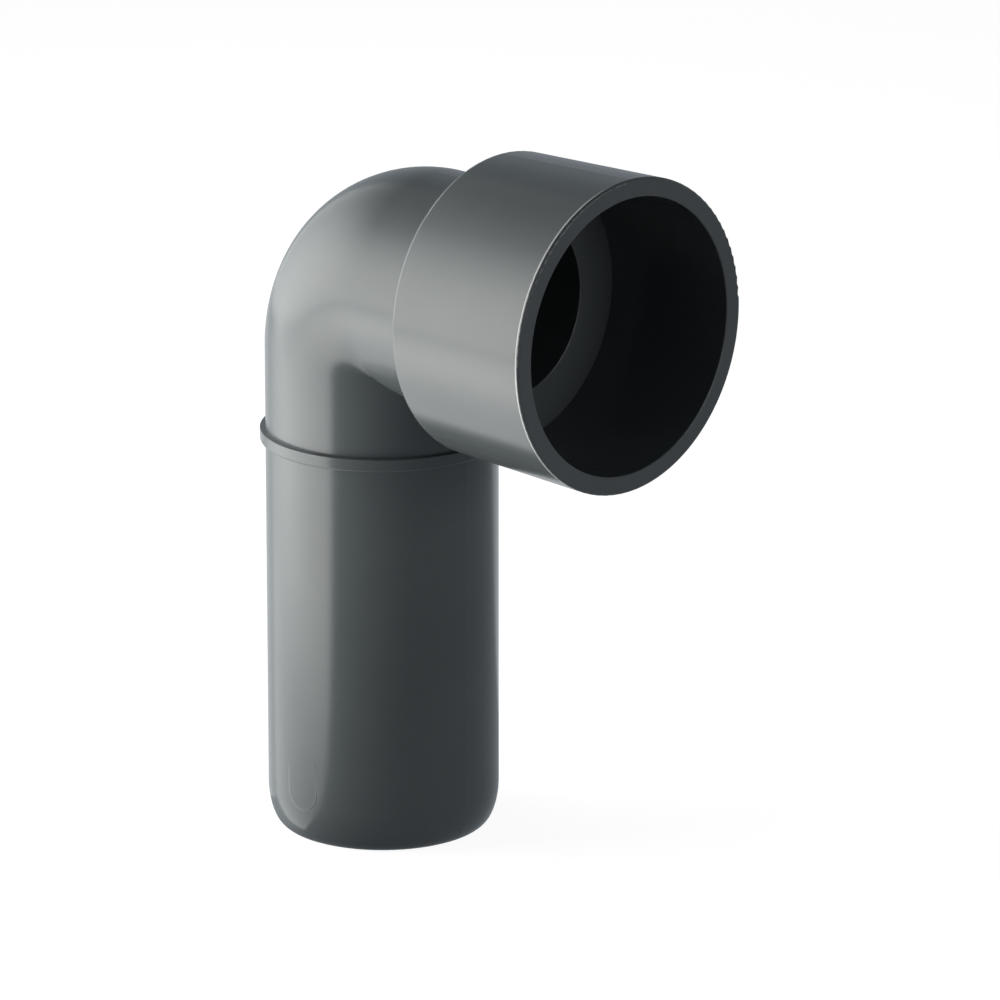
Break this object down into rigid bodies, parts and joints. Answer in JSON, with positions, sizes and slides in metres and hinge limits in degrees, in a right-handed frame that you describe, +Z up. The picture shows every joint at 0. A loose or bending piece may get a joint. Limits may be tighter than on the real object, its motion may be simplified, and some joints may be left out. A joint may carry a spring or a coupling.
{
  "type": "push-fit waste elbow",
  "caption": "Grey moulded 90 degree waste pipe elbow with a long plain spigot, a thin stop bead, a tight bend and a wide plain push-fit socket.",
  "frame": {"origin": "centre of the spigot's end plane, on the spigot's axis", "axes": "+Z up along the spigot's axis, +X along the socket's axis and out of its mouth, +Y across the bend"},
  "size_m": [0.079, 0.0538, 0.1254],
  "materials": {
    "elbow_plastic": "satin moulded plastic"
  },
  "bodies": {
    "root": {"elbow_body": "elbow_plastic"}
  },
  "joints": []
}
